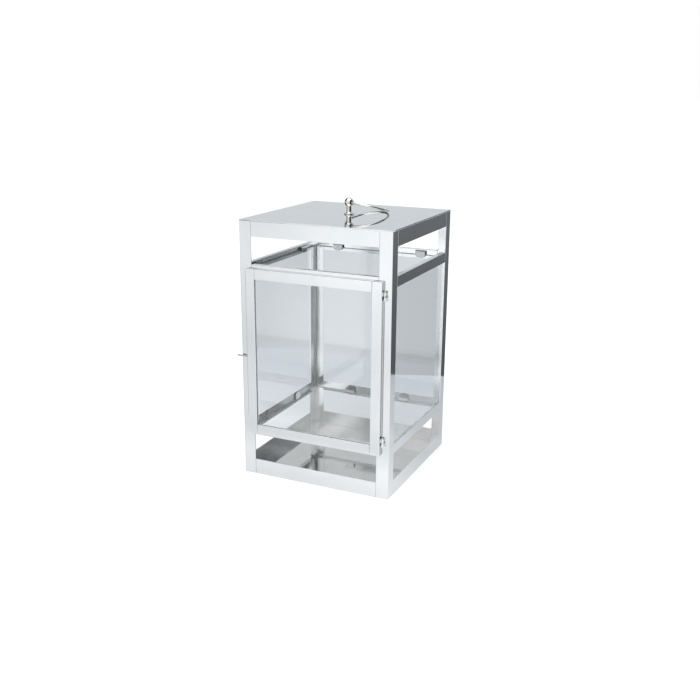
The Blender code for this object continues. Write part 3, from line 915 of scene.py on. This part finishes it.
def door_knuckle_outline(low, high, axis):
    """Barrel whose leaf lies on the door's edge, about the hinge's axis."""
    leaf_outer = low.x - axis.x
    leaf_inner = leaf_outer + DOOR_LEAF
    meets = math.acos(leaf_inner / KNUCKLE_RADIUS)
    barrel = arc((0, 0), KNUCKLE_RADIUS, -meets, meets)
    half = (high.y - low.y) / 2
    leaf = [(leaf_inner, half), (leaf_outer, half), (leaf_outer, -half), (leaf_inner, -half)]
    return barrel + [Vector(corner) for corner in leaf]


def build_hinge_pin(name, axis):
    """Pin with a domed head pressed on at each end."""
    low, high = low_high(name)
    head = high.x - axis.x
    cap = (high.z - low.z) * PIN_CAP_SHARE
    top = domed(head, high.z - cap, high.z, cap * PIN_CAP_DOME)
    bottom = domed(head, low.z, low.z + cap, cap * PIN_CAP_DOME, -1)
    profile = bottom + [(PIN_RADIUS, low.z + cap), (PIN_RADIUS, high.z - cap)] + top
    pin = to_piece(name + "_fine", lathe(profile, ARC_STEPS * 2), [NICKEL], Matrix.Translation(axis))
    stand_for(smooth(pin), name)


def build_hinges():
    x, y, _ = JOINTS["door_hinge"]["pos_m"]
    axis = Vector((x, y, 0))
    outlines = {"hinge_frame_knuckle_": frame_knuckle_outline, "hinge_door_knuckle_": door_knuckle_outline}
    for level in ("upper", "lower"):
        for kind, outline_of in outlines.items():
            low, high = low_high(kind + level)
            build_knuckle(kind + level, outline_of(low, high, axis), axis)
        build_hinge_pin("hinge_pin_" + level, axis)


def build_latch_pin():
    """Round pin with a domed tip and a flat head inside the stile."""
    low, high = low_high("door_latch_pin")
    middle = (low + high) / 2
    head = (high.z - low.z) / 2
    profile = domed(LATCH_PIN_RADIUS, low.x, high.x - SHEET / 2, LATCH_PIN_RADIUS * LATCH_PIN_DOME, -1)
    profile += [(head, high.x - SHEET / 2), (head, high.x)]
    place = along_x((0, middle.y, middle.z))
    pin = to_piece("door_latch_pin_fine", lathe(profile, ARC_STEPS * 2), [NICKEL], place)
    # Painted shade darkens the whole latch pin.
    stand_for(smooth(tarnish(pin, PAINTED_SHADE)), "door_latch_pin")


def build_rivet():
    """Rivet with a domed head over the hook and a closed end inside the post."""
    low, high = low_high("latch_rivet")
    middle = (low + high) / 2
    head = (high.z - low.z) / 2
    under = low_high("latch_hook")[0].x - RUNNING_GAP
    profile = domed(head, low.x, under, under - low.x - ROUND_EDGE / 2, -1)
    profile += [(RIVET_SHANK, under), (RIVET_SHANK, high.x), (RIVET_SHANK / 2, high.x + ROUND_EDGE / 2)]
    place = along_x((0, middle.y, middle.z))
    rivet = to_piece("latch_rivet_fine", lathe(profile, ARC_STEPS * 2), [NICKEL], place)
    stand_for(smooth(rivet), "latch_rivet")


def build_hook():
    pin_low, pin_high = low_high("door_latch_pin")
    pivot = Vector(JOINTS["latch_pivot"]["pos_m"])
    reach = pivot.y - (pin_low.y + pin_high.y) / 2
    low, high = low_high("latch_hook")
    shape = extrude(hook_outline(reach), low.x, high.x, "yzx", ROUND_EDGE)
    shape.transform(Matrix.Translation((0, pivot.y, pivot.z)))
    hook = to_piece("latch_hook_fine", shape, [STEEL_UP])
    bore_for(hook, RIVET_SHANK, "latch_rivet")
    stand_for(smooth(hook), "latch_hook")


def hook_outline(reach):
    """Flat hook hanging from its eye, with its slot open towards the back, as (y, z) about the pivot."""
    eye_meets = math.asin(HOOK_BAR / HOOK_EYE)
    head_meets = math.asin(HOOK_BAR / HOOK_HEAD)
    full = 2 * math.pi
    eye = arc((0, 0), HOOK_EYE, -QUARTER + eye_meets, -QUARTER + full - eye_meets)
    head = arc((0, -reach), HOOK_HEAD, QUARTER + head_meets, full + HOOK_HEAD_END)
    outer = -reach - HOOK_SLOT_OUTER
    inner = -reach + HOOK_SLOT_INNER
    slot = arc((0, (outer + inner) / 2), (inner - outer) / 2, -QUARTER + full, QUARTER, ARC_STEPS // 2)
    mouth = Vector((math.sqrt(HOOK_HEAD**2 - HOOK_SLOT_OUTER**2), outer))
    shoulder = Vector((math.sqrt(HOOK_HEAD**2 - HOOK_SLOT_INNER**2), inner))
    return eye + head + [mouth] + slot + [shoulder, Vector((HOOK_BAR, -reach + HOOK_HEAD))]


# ---------------------------------------------------------------- stage, light and camera

# Floor; its glow in mirrors, painted light and shade, is given as y and colour, from front to back.
FLOOR_SIZE = 60.0
FLOOR_FRONT = -1.5
FLOOR_BACK = 0.5
FLOOR_GLOW = (
    (-1.30, (0.64, 0.642, 0.643)),
    (-0.65, (0.41, 0.412, 0.415)),
    (-0.32, (0.51, 0.512, 0.515)),
    (-0.25, (0.43, 0.432, 0.435)),
    (-0.17, (0.72, 0.722, 0.723)),
    (0.08, (0.34, 0.352, 0.365)),
    (0.14, (0.20, 0.21, 0.225)),
    (0.35, (0.05, 0.062, 0.095)),
    (0.43, (0.06, 0.072, 0.10)),
    (0.45, (0.035, 0.042, 0.055)),
    (0.48, (0.035, 0.042, 0.055)),
    (0.50, (0.14, 0.145, 0.155)),
)
SHADE_WAY = math.radians(28)
SHADE_EDGE = (-0.10, 0.18)
BEHIND_EDGE = (-0.10, 0.08)
LEFT_SHADE = 0.76
PAPER_SHADE = (0.40, 0.405, 0.41)
PAPER = (0.50, 0.51, 0.52)
PAPER_SEEN = (0.86, 0.86, 0.86, 1.0)
PAPER_LIFT = 0.30

# Flag behind the lantern, with its outline as (x, z): a glowing sheet seen only in mirrors and through glass,
# a painted dark reflection.
FLAG_Y = 0.345
FLAG_OUTLINE = ((0.024, 0.0335), (0.304, 0.002), (0.9, 0.002), (0.9, 0.36), (0.024, 0.36))
FLAG_RISE = (0.05, 0.28)
FLAG_LEFT_END = (0.06, 0.16)
FLAG_LOW_PART = (0.12, 0.20)
FLAG_DARK = (0.11, 0.115, 0.125)
FLAG_TOP = (0.175, 0.183, 0.195)
FLAG_LEFT = (0.56, 0.59, 0.62)

# Card on the floor at the left, with its outline as (x, y): a glowing sheet seen only in mirrors and through
# glass, painted shade in the floor's reflection.
CARD_OUTLINE = ((-0.30, -0.17), (-0.30, 0.06), (-1.5, 0.10), (-1.5, -0.85))
CARD_HEIGHT = 0.001
CARD_GREY = (0.16, 0.165, 0.17)

# Panels at the sides, as name, x, near y and far y: glowing sheets seen only in mirrors and through glass,
# painted dark reflections.
PANELS = (("right_panel", 1.3, -1.8, 0.9), ("left_panel", -1.6, -0.6, 1.6))
PANEL_LOW = 0.36
PANEL_HIGH = 2.4
PANEL_DARK = (0.04, 0.04, 0.042)

# World, light and camera.
STUDIO_BACK = (0.725, 0.758, 0.78)
STUDIO_FRONT = (0.95, 0.96, 0.965)
STUDIO_TURN = (-0.5, 0.3)
WHITE = (1.0, 1.0, 1.0)
KEY_PLACE = (0.2, -1.1, 2.6)
KEY_TARGET = (0.1, -0.9, 0.0)
KEY_SIZE = 3.0
KEY_POWER = 42.0
CAMERA_PLACE = (0.4742, -1.0322, 0.4856)
CAMERA_AZIMUTH = math.radians(-24.556)
CAMERA_ELEVATION = math.radians(16.43)
CAMERA_ROLL = math.radians(0.423)
CAMERA_LENS = 46.58
SENSOR_WIDTH = 36.0


def link_stage(name, corners, material):
    shape = bmesh.new()
    shape.faces.new([shape.verts.new(corner) for corner in corners])
    mesh = bpy.data.meshes.new(name)
    shape.to_mesh(mesh)
    shape.free()
    mesh.materials.append(material)
    made = bpy.data.objects.new(name, mesh)
    bpy.context.scene.collection.objects.link(made)
    return made


def split_place(tree, space):
    """The three coordinates of a place, by name."""
    place = add_node(tree, "ShaderNodeTexCoord")
    split = add_node(tree, "ShaderNodeSeparateXYZ")
    tree.links.new(place.outputs[space], split.inputs["Vector"])
    return split.outputs


def floor_glow(tree, y_place):
    """Colour of the floor's glow in mirrors, from front to back."""
    depth = spread(tree, y_place, 0.0, 1.0, FLOOR_FRONT, FLOOR_BACK)
    glow = add_node(tree, "ShaderNodeValToRGB")
    stops = glow.color_ramp.elements
    while len(stops) < len(FLOOR_GLOW):
        stops.new(0.5)
    for stop, (y, colour) in zip(stops, FLOOR_GLOW):
        stop.position = (y - FLOOR_FRONT) / (FLOOR_BACK - FLOOR_FRONT)
        stop.color = (*colour, 1.0)
    tree.links.new(depth, glow.inputs["Fac"])
    return glow.outputs["Color"]


def add_shaders(tree, first, second):
    made = add_node(tree, "ShaderNodeAddShader")
    tree.links.new(first.outputs[0], made.inputs[0])
    tree.links.new(second.outputs[0], made.inputs[1])
    return made


def paper_in_mirrors(tree):
    """Paper in mirrors: painted light in front, painted shade to the left and behind."""
    place = split_place(tree, "Object")
    across = combine(tree, "MULTIPLY", place["X"], math.cos(SHADE_WAY))
    along = combine(tree, "MULTIPLY", place["Y"], math.sin(SHADE_WAY))
    side = spread(tree, combine(tree, "SUBTRACT", across, along), LEFT_SHADE, 1.0, *SHADE_EDGE)
    behind = spread(tree, place["Y"], 0.0, 1.0, *BEHIND_EDGE)
    side = combine(tree, "MAXIMUM", side, behind)
    paper = add_node(tree, "ShaderNodeBsdfDiffuse")
    tree.links.new(blend_colours(tree, side, PAPER_SHADE, PAPER), paper.inputs["Color"])
    shine = add_node(tree, "ShaderNodeEmission")
    tree.links.new(floor_glow(tree, place["Y"]), shine.inputs["Color"])
    tree.links.new(side, shine.inputs["Strength"])
    return add_shaders(tree, paper, shine)


def floor_material():
    """Pale paper: white to the camera, and in mirrors painted light in front and painted shade to the left
    and behind.
    """
    material = bpy.data.materials.new("floor_paper")
    material.use_nodes = True
    tree = material.node_tree
    tree.nodes.clear()
    seen_directly = add_node(tree, "ShaderNodeBsdfDiffuse", values={"Color": PAPER_SEEN})
    lift = add_node(tree, "ShaderNodeEmission", values={"Strength": PAPER_LIFT})
    path = add_node(tree, "ShaderNodeLightPath")
    mix = add_node(tree, "ShaderNodeMixShader")
    tree.links.new(path.outputs["Is Camera Ray"], mix.inputs[0])
    tree.links.new(paper_in_mirrors(tree).outputs[0], mix.inputs[1])
    tree.links.new(add_shaders(tree, seen_directly, lift).outputs[0], mix.inputs[2])
    output = add_node(tree, "ShaderNodeOutputMaterial")
    tree.links.new(mix.outputs[0], output.inputs["Surface"])
    return material


def glow_material(name):
    """A plain glow; gives the material, its nodes and the colour socket."""
    material = bpy.data.materials.new(name)
    material.use_nodes = True
    tree = material.node_tree
    tree.nodes.clear()
    glow = add_node(tree, "ShaderNodeEmission")
    output = add_node(tree, "ShaderNodeOutputMaterial")
    tree.links.new(glow.outputs[0], output.inputs["Surface"])
    return material, tree, glow.inputs["Color"]


def flag_material():
    """Painted dark reflection: a glowing sheet, a little paler upwards, and grey low down at its left end."""
    material, tree, colour = glow_material("flag_cloth")
    place = split_place(tree, "Object")
    upward = spread(tree, place["Z"], 0.0, 1.0, *FLAG_RISE)
    painted_dark = blend_colours(tree, upward, FLAG_DARK, FLAG_TOP)
    leftward = spread(tree, place["X"], 1.0, 0.0, *FLAG_LEFT_END)
    low = spread(tree, place["Z"], 1.0, 0.0, *FLAG_LOW_PART)
    tree.links.new(blend_colours(tree, combine(tree, "MULTIPLY", leftward, low), painted_dark, FLAG_LEFT), colour)
    return material


def reflection_sheet_material(name, shade):
    """A glowing sheet of one shade, for the stage only: a painted reflection."""
    material, _, colour = glow_material(name)
    colour.default_value = (*shade, 1.0)
    return material


def build_stage():
    reach = FLOOR_SIZE / 2
    link_stage("floor", [(x * reach, y * reach, 0) for x, y in SQUARE], floor_material())
    flags = [link_stage("studio_flag", [(x, FLAG_Y, z) for x, z in FLAG_OUTLINE], flag_material())]
    panel = reflection_sheet_material("panel_cloth", PANEL_DARK)
    for name, x, near, far in PANELS:
        wall = [(x, near, PANEL_LOW), (x, far, PANEL_LOW), (x, far, PANEL_HIGH), (x, near, PANEL_HIGH)]
        flags.append(link_stage(name, wall, panel))
    card = [(x, y, CARD_HEIGHT) for x, y in CARD_OUTLINE]
    flags.append(link_stage("left_card", card, reflection_sheet_material("grey_card", CARD_GREY)))
    # The flag, panels and card are seen only in mirrors and through glass, and cast no shadow: painted
    # reflections.
    for flag in flags:
        flag.visible_camera = False
        flag.visible_diffuse = False
        flag.visible_shadow = False


def build_world():
    """White to the camera; in reflections a grey studio that is brighter towards the front."""
    world = bpy.data.worlds.new("studio")
    world.use_nodes = True
    bpy.context.scene.world = world
    tree = world.node_tree
    forward = spread(tree, split_place(tree, "Generated")["Y"], 1.0, 0.0, *STUDIO_TURN)
    studio = blend_colours(tree, forward, STUDIO_BACK, STUDIO_FRONT)
    path = add_node(tree, "ShaderNodeLightPath")
    colour = blend_colours(tree, path.outputs["Is Camera Ray"], studio, WHITE)
    tree.links.new(colour, tree.nodes["Background"].inputs["Color"])


def build_light():
    light = bpy.data.lights.new("key", "AREA")
    light.shape = "RECTANGLE"
    light.size = KEY_SIZE
    light.size_y = KEY_SIZE
    light.energy = KEY_POWER
    lamp = bpy.data.objects.new("key", light)
    lamp.location = KEY_PLACE
    lamp.rotation_mode = "QUATERNION"
    lamp.rotation_quaternion = (Vector(KEY_TARGET) - Vector(KEY_PLACE)).to_track_quat("-Z", "Y")
    bpy.context.scene.collection.objects.link(lamp)


def build_camera():
    camera = bpy.data.cameras.new("camera")
    camera.sensor_width = SENSOR_WIDTH
    camera.lens = CAMERA_LENS
    view = bpy.data.objects.new("camera", camera)
    view.location = CAMERA_PLACE
    level = math.cos(CAMERA_ELEVATION)
    forward = Vector((
        math.sin(CAMERA_AZIMUTH) * level,
        math.cos(CAMERA_AZIMUTH) * level,
        -math.sin(CAMERA_ELEVATION),
    ))
    view.rotation_mode = "QUATERNION"
    rolled = Matrix.Rotation(CAMERA_ROLL, 3, "Z").to_quaternion()
    view.rotation_quaternion = forward.to_track_quat("-Z", "Y") @ rolled
    bpy.context.scene.collection.objects.link(view)
    bpy.context.scene.camera = view
    bpy.context.scene.view_settings.view_transform = "Standard"


build_posts()
build_bands()
build_rails()
build_roof()
build_base()
build_glass()
build_door()
build_handle()
build_washer()
build_nut()
build_hinges()
build_latch_pin()
build_rivet()
build_hook()
build_stage()
build_world()
build_light()
build_camera()
